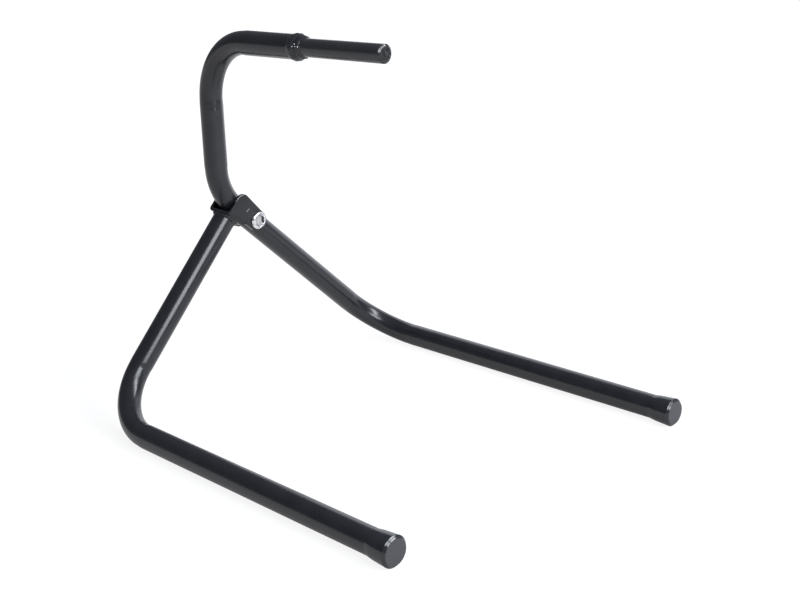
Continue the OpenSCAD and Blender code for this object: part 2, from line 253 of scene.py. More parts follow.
zincPlate = {
    "bright": rgb(0.82, 0.82, 0.83), "dull": rgb(0.66, 0.67, 0.69), "worn": rgb(0.88, 0.88, 0.88),
    "grime": rgb(0.035, 0.035, 0.038), "rough": 0.13, "bump": 0.05, "bumpDeep": 0.0003,
    "wornCover": 0.6, "grimeCover": 0.75, "grimeSpread": 0.4,
    "cloud": 240, "cloudEase": (0.35, 0.65), "cloudRough": 0.14, "rings": 900, "ringRough": 0.1,
    "scratch": 2600, "scratchStretch": (1, 0.15, 1), "scratchEase": (0.62, 0.72), "scratchRough": 0.12,
    "scratchHeight": 0.35, "fine": 1500, "fineHeight": 0.3,
}


def zincFinish(name, look):  # bright zinc: turning rings round the bolt, cloudy plating, handling marks, and painted shade where the edge layer is negative
    material, start, here = newMaterial(name)
    edge = start.add("Attribute", {"attribute_name": "edge"}, out="Fac")
    fromPivot = start.add("VectorMath", {"operation": "SUBTRACT"}, {0: here, 1: pivot * mm})
    fromAxis = fromPivot.stretched((0, 1, 1))
    radius = start.add("VectorMath", {"operation": "LENGTH"}, {0: fromAxis}, out="Value")
    rings = start.add("TexNoise", {"noise_dimensions": "1D"},
                      {"W": radius, "Scale": look["rings"], "Detail": 3})
    cloud = here.noise(look["cloud"], detail=3)
    scratch = here.stretched(look["scratchStretch"]).noise(look["scratch"]).ease(*look["scratchEase"])
    colour = cloud.ease(*look["cloudEase"]).blend(look["dull"], look["bright"])
    colour = (edge * look["wornCover"]).blend(colour, look["worn"])
    grime = (0 - edge) * (look["grimeCover"] + look["grimeSpread"] * cloud)  # painted shade where the edge layer is negative, in the bolt's socket and under its head
    colour = grime.blend(colour, look["grime"])
    rough = look["rough"] + cloud.swing(look["cloudRough"]) + rings.swing(look["ringRough"])
    rough = rough + look["scratchRough"] * scratch
    height = rings + look["scratchHeight"] * scratch + look["fineHeight"] * here.noise(look["fine"])
    return finishMaterial(material, look, colour, rough, height, {"Metallic": 1.0})


capRubber = {
    "dark": rgb(0.0165, 0.0168, 0.0222), "pale": rgb(0.021, 0.0214, 0.0275), "face": rgb(0.05, 0.051, 0.057),
    "dust": rgb(0.2, 0.2, 0.2), "gloss": 0.15, "matt": 0.42, "bump": 0.05, "bumpDeep": 0.0003,
    "faceEase": (0.93, 0.99), "faceCover": 0.86, "faceSpread": 0.28,
    "cloud": 120, "cloudEase": (0.3, 0.7), "cloudRough": 0.06, "cloudHeight": 0.4,
    "grain": 2400, "grainRough": 0.1, "barrelGrain": 0.25,
    "scuff": 420, "scuffTop": 0.0016, "scuffEase": (0.44, 0.6), "scuffCover": 0.6, "scuffRough": 0.2,
}


def capMould(name, look):  # moulded cap: glossy barrel, a paler matt end face, dusty scuffs underneath
    material, start, here = newMaterial(name)
    facing = start.add("NewGeometry", out="Normal").axis("X")
    grain = here.noise(look["grain"], detail=3)
    cloud = here.noise(look["cloud"], detail=3)
    face = facing.ease(*look["faceEase"])
    scuff = floorScuff(here, look)
    colour = cloud.ease(*look["cloudEase"]).blend(look["dark"], look["pale"])
    colour = (face * (look["faceCover"] + cloud.swing(look["faceSpread"]))).blend(colour, look["face"])
    colour = (scuff * look["scuffCover"]).blend(colour, look["dust"])
    rough = look["gloss"] + (look["matt"] - look["gloss"]) * face + grain.swing(look["grainRough"])
    rough = rough + cloud.swing(look["cloudRough"]) + look["scuffRough"] * scuff
    height = (look["barrelGrain"] + (1 - look["barrelGrain"]) * face) * grain + look["cloudHeight"] * cloud
    return finishMaterial(material, look, colour, rough, height)


plugPlastic = {
    "dark": rgb(0.007, 0.0075, 0.009), "pale": rgb(0.016, 0.0165, 0.018), "rough": 0.13, "pits": 900,
    "grain": 1900, "grainEase": (0.35, 0.7), "grainRough": 0.16, "grainHeight": 0.5,
    "bump": 0.12, "bumpDeep": 0.0004,
}


def plugMould(name, look):  # cast plug with a pitted face
    material, start, here = newMaterial(name)
    pits = start.add("TexVoronoi", {}, {"Vector": here, "Scale": look["pits"]}, out="Distance")
    grain = here.noise(look["grain"], detail=3)
    colour = grain.ease(*look["grainEase"]).blend(look["dark"], look["pale"])
    rough = look["rough"] + grain.swing(look["grainRough"])
    height = pits + look["grainHeight"] * grain
    return finishMaterial(material, look, colour, rough, height)


nylon = {
    "rough": 0.38, "haze": 300, "hazeEase": (0.3, 0.7), "hazeRough": 0.16, "hazeHeight": 0.5,
    "fine": 2600, "fineRough": 0.1, "bump": 0.12, "bumpDeep": 0.0002,
}
washerNylon = {**nylon, "deep": rgb(0.045, 0.045, 0.048), "pale": rgb(0.075, 0.075, 0.079)}
ringNylon = {**nylon, "deep": rgb(0.055, 0.13, 0.33), "pale": rgb(0.1, 0.2, 0.45)}


def nylonTurned(name, look):  # plain nylon with a fine grain and handling haze
    material, start, here = newMaterial(name)
    haze = here.noise(look["haze"], detail=3)
    fine = here.noise(look["fine"])
    colour = haze.ease(*look["hazeEase"]).blend(look["deep"], look["pale"])
    rough = look["rough"] + haze.swing(look["hazeRough"]) + fine.swing(look["fineRough"])
    height = fine + look["hazeHeight"] * haze
    return finishMaterial(material, look, colour, rough, height)


earOut = alongBolt("hinge_bracket")[1]
bracketChips = [  # place along the folding leg, down the sloping leg, and size
    (0.0, -17.3, 0.75), (-1.4, -17.1, 0.5), (-2.6, -16.8, 0.7),
]
earChips = [(hingePlace @ Vector((x, y, earOut)), size) for x, y, size in bracketChips]
materials = {
    "coat": coatPaint("blackCoat"),
    # the bracket's coat is a darker copy, painted shade, with real chips
    "chippedCoat": coatPaint("blackCoatOnBracket", bracketPaintedShadeCoat, chips=earChips),
    # the pin's coat is a paler copy: painted light
    "rubbedCoat": coatPaint("blackCoatOnPin", pinPaintedLightCoat),
    "weldCoat": coatPaint("blackCoatOnWeld", lumpy=1.0),
    "zinc": zincFinish("zincPlate", zincPlate),
    "rubber": capMould("capRubber", capRubber),
    "plug": plugMould("plugPlastic", plugPlastic),
    "washer": nylonTurned("washerNylon", washerNylon),
    "ring": nylonTurned("ringNylon", ringNylon),
}
print("materials made:", len(materials))


# Mesh helpers
def addPiece(name, bm, place, body, node, finishes, sharp=sharpDeg):
    mesh = bpy.data.meshes.new(name)
    bmesh.ops.recalc_face_normals(bm, faces=bm.faces[:])
    bm.to_mesh(mesh)
    bm.free()
    mesh.transform(Matrix.Scale(mm, 4) @ place)
    mesh.shade_smooth()
    mesh.set_sharp_from_angle(angle=math.radians(sharp))
    for finish in finishes:
        mesh.materials.append(materials[finish])
    piece = bpy.data.objects.new(name, mesh)
    scene.collection.objects.link(piece)
    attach(piece, body)
    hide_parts(node)
    print("piece:", name, len(mesh.polygons), "faces")
    return piece


def rounded(corners, closed=True, perArc=6):  # outline through (x, y, radius) corners, worn amid each arc
    line = []
    for i, (x, y, rad) in enumerate(corners):
        here = Vector((x, y))
        atEnd = not closed and i in (0, len(corners) - 1)
        if rad == 0 or atEnd:
            line.append((x, y, 0.0))
            continue
        toLast = (Vector(corners[i - 1][:2]) - here).normalized()
        toNext = (Vector(corners[(i + 1) % len(corners)][:2]) - here).normalized()
        half = toLast.angle(toNext) / 2
        centre = here + (toLast + toNext).normalized() * rad / math.sin(half)
        spoke = here + toLast * rad / math.tan(half) - centre
        sweep = math.copysign(math.pi - 2 * half, toLast.x * toNext.y - toLast.y * toNext.x)
        for k in range(perArc + 1):
            point = centre + Matrix.Rotation(-sweep * k / perArc, 2) @ spoke
            line.append((point.x, point.y, math.sin(math.pi * k / perArc)))
    return line


def skin(bm, rows, flip=False):  # quads between rings of points, triangles where a ring is one point
    for low, high in zip(rows, rows[1:]):
        count = max(len(low), len(high))
        for i in range(count):
            j = (i + 1) % count
            corners = [low[i % len(low)], low[j % len(low)], high[j % len(high)], high[i % len(high)]]
            corners = list(dict.fromkeys(corners))
            bm.faces.new(corners[::-1] if flip else corners)


def hexReach(angle):  # how far a hexagon of unit half width reaches at an angle
    return 1 / math.cos(angle % (math.pi / 3) - math.pi / 6)


def lathe(profile, sides=72, closed=True, shape=None):  # turned piece round z, from (radius, z, edge) points
    bm = bmesh.new()
    worn = bm.verts.layers.float.new("edge")
    rows = []
    for rad, z, edge in profile:
        row = []
        for k in range(1 if rad < rounding else sides):
            angle = fullTurn * k / sides
            r, height = shape(angle, rad, z) if shape else (rad, z)
            vert = bm.verts.new((r * math.cos(angle), r * math.sin(angle), height))
            # the edge layer holds wear, and on the bolt its negative values mark painted shade
            vert[worn] = edge
            row.append(vert)
        rows.append(row)
    skin(bm, rows + rows[:1] if closed else rows)
    return bm


def ringProfile(outer, inner, low, high, soft):
    return rounded([(inner, low, soft), (outer, low, soft), (outer, high, soft), (inner, high, soft)])


def wobble(*where):  # smooth seeded noise about zero
    return noise.noise(Vector(where))


def wobbleRound(angle, scale, height):  # the same, on a circle
    return wobble(scale * math.cos(angle), scale * math.sin(angle), height)


def smooth(value):
    value = min(max(value, 0.0), 1.0)
    return value * value * (3 - 2 * value)


# Bent tubes
tube = {
    "sides": 72, "step": 5.0, "bendStep": 1.6, "nearBend": 22.0, "flatten": 0.42, "flattenAll": 0.25,
    "neck": 6.0, "ripple": 0.01, "ripplePitch": 12.0, "waver": 0.035, "waverLong": 45.0, "waverScale": 2.5,
    "mainSeed": 3.0, "foldingSeed": 17.0,
}
mainMarks = [  # press marks left by the bending dies, placed from a bend's start or end
    {"bend": 0, "end": True, "off": 8.0, "deg": 24, "depth": -0.5, "long": 2.0, "wide": 4.0},
    {"bend": 0, "end": True, "off": -19.5, "deg": 13, "depth": 0.16, "long": 5.0, "wide": 2.6},
    {"bend": 2, "end": False, "off": -2.0, "deg": -25, "depth": 0.16, "long": 1.2, "wide": 5.0},
    {"bend": 2, "end": False, "off": 36.0, "deg": -10, "depth": 0.25, "long": 12.0, "wide": 4.0},
]
foldingMarks = [
    {"bend": 0, "end": False, "off": 20.0, "deg": 29, "depth": 0.28, "long": 10.0, "wide": 3.4},
    {"bend": 0, "end": True, "off": 0.0, "deg": 20, "depth": -0.15, "long": 2.0, "wide": 3.0},
]


def ringPlaces(length, fromBend, toBend):  # rings lie closer beside a bend, where the dies leave marks
    places = [0.0]
    while places[-1] < length:
        at = places[-1]
        near = (fromBend and at < tube["nearBend"]) or (toBend and at > length - tube["nearBend"])
        places.append(at + tube["bendStep" if near else "step"])
    return [at * length / places[-1] for at in places]


def tubeStations(corners):  # rings' places along the straights and bends, and how far along each bend lies
    stations = []
    bends = []
    along = 0.0
    start = corners[0]
    inward = None
    for i in range(1, len(corners)):
        heading = (corners[i] - corners[i - 1]).normalized()
        last = i == len(corners) - 1
        setback = 0.0
        nextInward = inward
        if not last:
            onward = (corners[i + 1] - corners[i]).normalized()
            angle = heading.angle(onward)
            setback = stand["bendRad"] * math.tan(angle / 2)
            nextInward = (onward - heading * heading.dot(onward)).normalized()
        length = (corners[i] - start).dot(heading) - setback
        places = ringPlaces(length, inward is not None, not last)
        for at in places if last else places[:-1]:
            nearNext = inward is None or at > length / 2
            stations.append((start + heading * at, heading, nextInward if nearNext else inward, along + at))
        along += length
        if last:
            break
        centre = corners[i] - heading * setback + nextInward * stand["bendRad"]
        axis = heading.cross(nextInward)
        arc = angle * stand["bendRad"]
        count = math.ceil(arc / tube["bendStep"])
        for k in range(count):
            spin = Matrix.Rotation(angle * k / count, 3, axis)
            at = centre - spin @ nextInward * stand["bendRad"]
            stations.append((at, spin @ heading, spin @ nextInward, along + arc * k / count))
        bends.append((along, along + arc))
        along += arc
        inward = Matrix.Rotation(angle, 3, axis) @ nextInward
        start = corners[i] + onward * setback
    return stations, bends


def pastNeck(distance):  # eases in over the neck of a bend, half way at its end
    return smooth(distance / tube["neck"] + 0.5)


def tubeReach(along, angle, bends, marks, seed):  # radius at a place, with bends, marks and a slight waver
    inner = math.cos(angle)
    scale = tube["waverScale"]
    allRound = tube["flattenAll"]
    waver = wobble(along / tube["waverLong"], scale * inner, scale * math.sin(angle) + seed)
    reach = tubeRad + tube["waver"] * (waver - 1)
    for first, final in bends:
        share = pastNeck(along - first) * pastNeck(final - along)
        reach -= share * tube["flatten"] * (allRound + (1 - allRound) * inner * inner)
        wave = math.sin(fullTurn * along / tube["ripplePitch"])
        reach += share * tube["ripple"] * max(inner, 0) ** 2 * wave
    for mark in marks:
        middle = bends[mark["bend"]][1 if mark["end"] else 0] + mark["off"]
        apart = (along - middle) / mark["long"]
        turn = math.remainder(angle - math.radians(mark["deg"]), fullTurn) * tubeRad / mark["wide"]
        reach -= mark["depth"] * math.exp(-apart ** 2 - turn ** 2)
    return reach


def bentTube(corners, marks, seed):
    stations, bends = tubeStations(corners)
    bm = bmesh.new()
    outer = []
    inner = []
    across = stations[0][2]
    lastHeading = stations[0][1]
    for at, heading, inward, along in stations:
        across = lastHeading.rotation_difference(heading) @ across
        across = (across - heading * across.dot(heading)).normalized()
        lastHeading = heading
        other = heading.cross(across)
        side = heading.cross(inward)
        rows = ([], [])
        for k in range(tube["sides"]):
            turn = fullTurn * k / tube["sides"]
            spoke = across * math.cos(turn) + other * math.sin(turn)
            reach = tubeReach(along, math.atan2(spoke.dot(side), spoke.dot(inward)), bends, marks, seed)
            rows[0].append(bm.verts.new(at + spoke * reach))
            rows[1].append(bm.verts.new(at + spoke * (reach - stand["tubeWall"])))
        outer.append(rows[0])
        inner.append(rows[1])
    skin(bm, outer)
    skin(bm, inner, True)
    skin(bm, [outer[0], inner[0]], True)
    skin(bm, [outer[-1], inner[-1]])
    return bm


def drill(piece, cutter, place):  # cuts a turned shape out of a piece
    mesh = bpy.data.meshes.new("cutter")
    cutter.to_mesh(mesh)
    cutter.free()
    mesh.transform(Matrix.Scale(mm, 4) @ place)
    tool = bpy.data.objects.new("cutter", mesh)
    scene.collection.objects.link(tool)
    cut = piece.modifiers.new("cut", "BOOLEAN")
    cut.operation = "DIFFERENCE"
    cut.object = tool
    bpy.context.view_layer.update()
    drilled = bpy.data.meshes.new_from_object(piece.evaluated_get(bpy.context.evaluated_depsgraph_get()))
    piece.modifiers.clear()
    piece.data = drilled
    bpy.data.objects.remove(tool)
    drilled.set_sharp_from_angle(angle=math.radians(sharpDeg))


armEnd = armCorner + armDir * stand["armLen"]
mainPath = [armEnd, armCorner, slopeCorner, fixedCorner, fixedEnd]
mainBends = bentTube(mainPath, mainMarks, tube["mainSeed"])
mainTube = addPiece("mainTube", mainBends, Matrix(), "stand_frame", "main_tube", ["coat"])
foldingBend = bentTube([legTop, foldingCorner, foldingEnd], foldingMarks, tube["foldingSeed"])
addPiece("foldingLeg", foldingBend, Matrix(), "folding_side", "folding_leg", ["coat"])

# Pivot sleeve pressed through the tube
hinge = {"boltHole": 10.1, "soft": 0.25}
sleeve = {"dia": 13.0, "fit": 0.1, "drillSides": 48}
boltHoleRad = hinge["boltHole"] / 2
drillRad = (sleeve["dia"] + sleeve["fit"]) / 2
drillEnd = 2 * tubeRad
drillProfile = [
    (0.0, -drillEnd, 0.0), (drillRad, -drillEnd, 0.0), (drillRad, drillEnd, 0.0), (0.0, drillEnd, 0.0),
]
drill(mainTube, lathe(drillProfile, sleeve["drillSides"], False), hingePlace)
sleeveProfile = ringProfile(sleeve["dia"] / 2, boltHoleRad, *alongBolt("pivot_sleeve"), hinge["soft"])
addPiece("pivotSleeve", lathe(sleeveProfile), hingePlace, "stand_frame", "pivot_sleeve",
         ["zinc"])
print("tubes bent and drilled")


# Support pin, its bush and its two weld beads, along the arm from the upright's axis
pin = {
    "reach": 229.5, "wall": 2.0, "step": 0.3, "seatEnd": 135.4, "shoulder": 0.6, "soft": 0.35,
    "tipSoft": 0.175, "edge": 0.2, "bushStart": 101.5, "bushEnd": 134.77, "bushRad": 9.45,
}
armPlace = placeAlong(armCorner, armDir)
seatRad = pinRad - pin["step"]
boreRad = pinRad - pin["wall"]
bushBore = seatRad + stand["pushFit"]
bushProfile = ringProfile(pin["bushRad"], bushBore, pin["bushStart"], pin["bushEnd"], pin["edge"])
pinProfile = rounded([
    (boreRad, pin["bushStart"], 0), (seatRad, pin["bushStart"], pin["soft"]),
    (seatRad, pin["seatEnd"], pin["edge"]), (pinRad, pin["seatEnd"] + pin["shoulder"], pin["edge"]),
    (pinRad, pin["reach"], pin["tipSoft"]), (boreRad, pin["reach"], 0),
])
addPiece("armBush", lathe(bushProfile), armPlace, "stand_frame", "arm_bush", ["coat"])
addPiece("supportPin", lathe(pinProfile), armPlace, "stand_frame", "support_pin",
         ["rubbedCoat"])

# Each drop of spatter: place along the bead from its middle, degrees up from the bead's front, and size
welds = {
    "arm": {"middle": 126.4, "len": 10.4, "top": 12.05, "left": 10.6, "right": 9.2, "beads": 15, "lump": 0.4,
            "seed": 4.0, "drops": [(3.7, 10, 0.75), (-3.0, 205, 0.5), (3.0, 130, 0.5)]},
    "pin": {"middle": 133.4, "len": 7.4, "top": 10.25, "left": 9.4, "right": 7.6, "beads": 13, "lump": 0.34,
            "seed": 9.0, "drops": [(-1.0, 23, 0.7), (0.3, 11, 0.6), (2.3, 10, 0.7), (1.6, 250, 0.5)]},
}
bead = {
    "rows": 18, "sides": 160, "archPower": 1.25, "under": 0.3, "underEnd": 0.9, "ridge": 0.75, "slant": 2.4,
    "curl": 0.5, "stray": 0.25, "strayScale": 3, "knob": 0.9, "knobScale": 4.5, "knobLong": 3, "sink": 0.85,
    "widen": 0.06, "widenScale": 2.2, "widenSeed": 7, "frontDeg": -90, "dropSink": 0.3,
}


def weldSwell(look, beads, angle, lean, height):  # how far a weld swells at a place, and the knob in it
    ridge = abs(math.sin(beads * angle / 2 + lean))
    knob = wobbleRound(angle, look["knobScale"], height)
    return look["ridge"] * ridge + look["knob"] * knob - look["sink"], knob


def archReach(weld, place):  # bead's radius at a place from -1 to 1 along it
    foot = weld["left"] + (weld["right"] - weld["left"]) * smooth((place + 1) / 2)
    return foot + (weld["top"] - foot) * (1 - place * place) ** bead["archPower"]


def weldBead(weld):  # overlapping beads round the arm, as a lumpy low arch
    half = weld["len"] / 2
    seed = weld["seed"]
    places = [-1 + 2 * k / bead["rows"] for k in range(bead["rows"] + 1)]
    profile = [(archReach(weld, place), half * place, 0.0) for place in places]
    profile.append((weld["right"] - bead["under"], half * bead["underEnd"], 0.0))
    profile.append((weld["left"] - bead["under"], -half * bead["underEnd"], 0.0))

    def lumps(angle, rad, z):
        place = z / half
        arch = max(0.0, 1 - place * place)
        stray = bead["stray"] * wobbleRound(angle, bead["strayScale"], seed)
        lean = bead["slant"] * (bead["curl"] * place * place + stray)
        swell, _ = weldSwell(bead, weld["beads"], angle, lean, z / bead["knobLong"] + seed)
        widen = bead["widen"] * wobbleRound(angle, bead["widenScale"], seed + bead["widenSeed"])
        return rad + weld["lump"] * arch * swell, z * (1 + widen)

    bm = lathe(profile, bead["sides"], True, lumps)
    first = len(bm.faces)
    for z, deg, size in weld["drops"]:  # bare drops that the coat didn't hold on
        angle = math.radians(bead["frontDeg"] - deg)
        reach = archReach(weld, z / half) - weld["lump"] * bead["dropSink"]
        spot = Vector((reach * math.cos(angle), reach * math.sin(angle), z))
        bmesh.ops.create_icosphere(bm, subdivisions=2, radius=size, matrix=Matrix.Translation(spot))
    bm.faces.ensure_lookup_table()
    for face in bm.faces[first:]:
        face.material_index = 1
    return bm


for name, node, weld in [("armWeld", "arm_weld", welds["arm"]), ("pinWeld", "pin_weld", welds["pin"])]:
    weldPlace = placeAlong(armCorner + armDir * weld["middle"], armDir)
    addPiece(name, weldBead(weld), weldPlace, "stand_frame", node, ["weldCoat", "zinc"])

plug = {
    "head": 2.0, "bevel": 1.9, "bevelDeep": 1.19, "edge": 0.3, "seatEdge": 0.15, "stem": 12.0,
    "stemRound": 0.8, "rimWide": 2.5, "dish": 0.35, "dishRun": 0.4, "dishEdge": 0.2, "nubRad": 2.1,
    "nubHigh": 0.8, "nubRound": 1.1, "uneven": 0.16, "unevenScale": 0.7, "unevenDeep": 0.1, "seed": 5.5,
}
stemRad = boreRad - stand["pushFit"]
rimRad = pinRad - plug["rimWide"]
dishFloor = plug["head"] - plug["dish"]
nubTop = plug["head"] + plug["nubHigh"]
plugProfile = rounded([
    (0.0, -plug["stem"], 0), (stemRad, -plug["stem"], plug["stemRound"]), (stemRad, 0.0, 0),
    (pinRad, 0.0, plug["seatEdge"]), (pinRad, plug["head"] - plug["bevelDeep"], plug["edge"]),
    (pinRad - plug["bevel"], plug["head"], plug["edge"]), (rimRad, plug["head"], plug["dishEdge"]),
    (rimRad - plug["dishRun"], dishFloor, plug["dishEdge"]), (plug["nubRad"], dishFloor, plug["edge"]),
    (plug["nubRad"], nubTop, plug["nubRound"]), (0.0, nubTop, 0),
], False)


def plugFace(angle, rad, z):  # the cast face is uneven inside its rim
    if z < dishFloor - plug["unevenDeep"] or rad > rimRad:
        return rad, z
    return rad, z + plug["uneven"] * wobbleRound(angle, rad * plug["unevenScale"], plug["seed"])


plugPlace = placeAlong(armCorner + armDir * pin["reach"], armDir)
plugMesh = lathe(plugProfile, closed=False, shape=plugFace)
addPiece("pinTipPlug", plugMesh, plugPlace, "stand_frame", "pin_tip_plug", ["plug"])
print("pin, welds and plug made")

# Foot caps pushed over the tubes
cap = {
    "len": 22.5, "wall": 1.0, "flare": 1.0, "feather": 6.0, "featherRound": 12.0, "lip": 0.15,
    "lipEdge": 0.05, "step": 1.15, "bevel": 0.95, "edge": 0.25, "bossFoot": 0.05, "bossEdge": 0.1,
    "insideRound": 0.5, "faceRing": 0.5, "perArc": 8, "sides": 96, "waver": 0.04, "waverScale": 1.6,
    "waverLong": 14.0, "waverSink": 0.6, "boreSkin": 0.1, "firmEnd": 4.0,
}


def footCap(seed):  # flared cup with a raised face
    mouth = tubeRad + stand["pushFit"]
    rim = mouth + cap["wall"] + cap["flare"]
    boss = rim - cap["step"]
    shoulder = cap["len"] - cap["step"]
    inside = cap["len"] - stand["capFace"]
    profile = rounded([
        (0.0, inside, 0), (mouth, inside, cap["insideRound"]), (mouth, 0.0, cap["lipEdge"]),
        (mouth + cap["lip"], 0.0, cap["lipEdge"]),
        (mouth + cap["wall"], cap["feather"], cap["featherRound"]),
        (rim, shoulder - cap["bevel"], cap["edge"]), (rim - cap["bevel"], shoulder, cap["edge"]),
        (boss, shoulder, cap["bossFoot"]), (boss, cap["len"] - cap["bevel"], cap["bossEdge"]),
        (boss - cap["bevel"], cap["len"], cap["edge"]), (boss * cap["faceRing"], cap["len"], 0),
        (0.0, cap["len"], 0),
    ], False, cap["perArc"])

    def soft(angle, rad, z):  # the barrel wavers a little, the bore and the end stay true
        if rad < mouth + cap["boreSkin"] or z > cap["len"] - cap["firmEnd"]:
            return rad, z
        waver = wobbleRound(angle, cap["waverScale"], z / cap["waverLong"] + seed)
        return rad + cap["waver"] * (waver - cap["waverSink"]), z

    return lathe(profile, cap["sides"], False, soft)


for name, node, body, end, runDir, seed in [
    ("fixedFootCap", "fixed_foot_cap", "stand_frame", fixedEnd, fixedDir, 2.0),
    ("foldingFootCap", "folding_foot_cap", "folding_side", foldingEnd, foldingDir, 6.0),
]:
    mouthPlace = placeAlong(end - runDir * (cap["len"] - stand["capFace"]), runDir)
    addPiece(name, footCap(seed), mouthPlace, body, node, ["rubber"])
print("foot caps made")

# Hinge bracket: two shaped ears and a web bent from one sheet
bracket = {
    "bendRad": 1.5, "endRad": 10.2, "endDrop": 0.7, "tailRise": 12.0, "tailRad": 8.0, "tailShort": 1.0,
    "webClear": 1.0, "relief": 0.8, "reliefDeep": 0.7, "reliefRound": 0.3, "tabRound": 1.2, "perArc": 14,
    "perBend": 8, "holeSides": 40, "flatDeg": 1, "outEdge": 1.0, "outLean": 0.466, "edge": 0.3,
    "edgeSteps": 5, "notchClear": 2.0, "sharpDeg": 20,
}
earIn = earOut - stand["sheet"]
webEnd = -(tubeRad + bracket["webClear"])
tailEnd = -(legOffset + tubeRad - bracket["tailShort"])
bendLine = webIn - bracket["bendRad"]


def earOutline():  # x towards the folding leg, y down the sloping leg
    endRad = bracket["endRad"]
    tailRad = bracket["tailRad"]
    endAt = Vector((bracket["endDrop"], 0))
    tailAt = Vector((tailRad - bracket["tailRise"], tailRad + tailEnd))
    span = endAt - tailAt
    tilt = math.atan2(span.y, span.x) + math.acos((tailRad - endRad) / span.length)
    normal = Vector((math.cos(tilt), math.sin(tilt)))
    touch = endAt + normal * endRad
    lean = -normal.y / normal.x
    front = bracket["endDrop"] + endRad
    tabEnd = webEnd + bracket["relief"]
    notch = bendLine - bracket["reliefDeep"]
    corners = [
        (bendLine, tailEnd, 0), (bendLine, webEnd, 0), (notch, webEnd, bracket["reliefRound"]),
        (notch, tabEnd, bracket["reliefRound"]), (front, tabEnd, bracket["tabRound"]),
        (front, endRad, endRad), (touch.x + (endRad - touch.y) * lean, endRad, endRad),
        (touch.x + (tailEnd - touch.y) * lean, tailEnd, tailRad),
    ]
    return [(x, y) for x, y, _ in rounded(corners, True, bracket["perArc"])]


def onBendLine(vert, side):  # where an ear runs on into the web
    return abs(vert.co.x - bendLine) < rounding and vert.co.y < webEnd + rounding and vert.co.z * side > 0


def onOutside(edge):  # true on the ears' outer faces, away from the bolt hole and the relief notch
    middle = (edge.verts[0].co + edge.verts[1].co) / 2
    clear = bracket["notchClear"]
    inNotch = middle.x > bendLine - clear and abs(middle.y - webEnd) < clear
    return abs(abs(middle.z) - earOut) < touching and middle.xy.length > hinge["boltHole"] and not inNotch


def addEars(bm):
    turns = [fullTurn * k / bracket["holeSides"] for k in range(bracket["holeSides"])]
    hole = [(boltHoleRad * math.cos(turn), boltHoleRad * math.sin(turn)) for turn in turns]
    loops = (earOutline(), hole)
    for side in (-1, 1):
        edges = []
        for loop in loops:
            verts = [bm.verts.new((x, y, side * earIn)) for x, y in loop]
            edges += [bm.edges.new(pair) for pair in zip(verts, verts[1:] + verts[:1])]
        made = bmesh.ops.triangle_fill(bm, use_beauty=True, edges=edges)["geom"]
        faces = [item for item in made if isinstance(item, bmesh.types.BMFace)]
        lifted = bmesh.ops.extrude_face_region(bm, geom=faces)["geom"]
        verts = [item for item in lifted if isinstance(item, bmesh.types.BMVert)]
        bmesh.ops.translate(bm, verts=verts, vec=(0, 0, side * stand["sheet"]))
        bm.faces.ensure_lookup_table()
        joined = [face for face in bm.faces if all(onBendLine(vert, side) for vert in face.verts)]
        bmesh.ops.delete(bm, geom=joined, context="FACES_ONLY")


def addWeb(bm):  # the web and the two bends that join it to the ears
    flatHalf = earIn - bracket["bendRad"]
    turns = [math.pi / 2 * k / bracket["perBend"] for k in range(bracket["perBend"] + 1)]
    rows = []
    for y in (tailEnd, webEnd):
        for rad in (bracket["bendRad"], bracket["bendRad"] + stand["sheet"]):
            ends = [(bendLine + rad * math.sin(turn), flatHalf + rad * math.cos(turn)) for turn in turns]
            path = ends + [(x, -z) for x, z in ends[::-1]]
            rows.append([bm.verts.new((x, y, z)) for x, z in path])
    insideTail, outsideTail, insideWeb, outsideWeb = rows
    for one, two in ((insideTail, insideWeb), (outsideTail, outsideWeb), (insideTail, outsideTail),
                     (insideWeb, outsideWeb)):
        for k in range(len(one) - 1):
            bm.faces.new((one[k], one[k + 1], two[k + 1], two[k]))


def softenEdges(bm):  # a shallow chamfer on the ears' outer faces, then a small round everywhere
    worn = bm.verts.layers.float.new("edge")
    chamfer = (bracket["outEdge"], 1, True)
    smallRound = (bracket["edge"], bracket["edgeSteps"], False)
    for offset, steps, outside in (chamfer, smallRound):
        chosen = [edge for edge in bm.edges if edge.is_manifold
                  and edge.calc_face_angle() > math.radians(sharpDeg) and (onOutside(edge) or not outside)]
        made = bmesh.ops.bevel(bm, geom=chosen, offset=offset, segments=steps, profile=0.5, affect="EDGES",
                               clamp_overlap=not outside)
        for vert in made["verts"]:
            atEdge = abs(abs(vert.co.z) - earOut + offset) < touching
            if outside and atEdge:  # the chamfer is wider on the face than on the edge
                vert.co.z = math.copysign(earOut - offset * bracket["outLean"], vert.co.z)
        fresh = set(made["faces"])
        for vert in made["verts"]:
            vert[worn] = 1.0 if all(face in fresh for face in vert.link_faces) else 0.0


def bentSheet():
    bm = bmesh.new()
    addEars(bm)
    addWeb(bm)
    bmesh.ops.remove_doubles(bm, verts=bm.verts[:], dist=touching)
    bmesh.ops.recalc_face_normals(bm, faces=bm.faces[:])
    flat = math.radians(bracket["flatDeg"])
    bmesh.ops.dissolve_limit(bm, angle_limit=flat, verts=bm.verts[:], edges=bm.edges[:])
    softenEdges(bm)
    return bm


addPiece("hingeBracket", bentSheet(), hingePlace, "folding_side", "hinge_bracket",
         ["chippedCoat"], bracket["sharpDeg"])

fillet = {
    "size": 2.0, "tall": 1.25, "under": 0.4, "skirt": 3.0, "margin": 0.15, "rows": 10, "sides": 150,
    "beads": 22, "lump": 0.45, "ridge": 0.6, "slant": 0.5, "knob": 0.8, "knobScale": 4, "knobLong": 2,
    "seed": 12, "sink": 0.5, "stretch": 0.25,
}


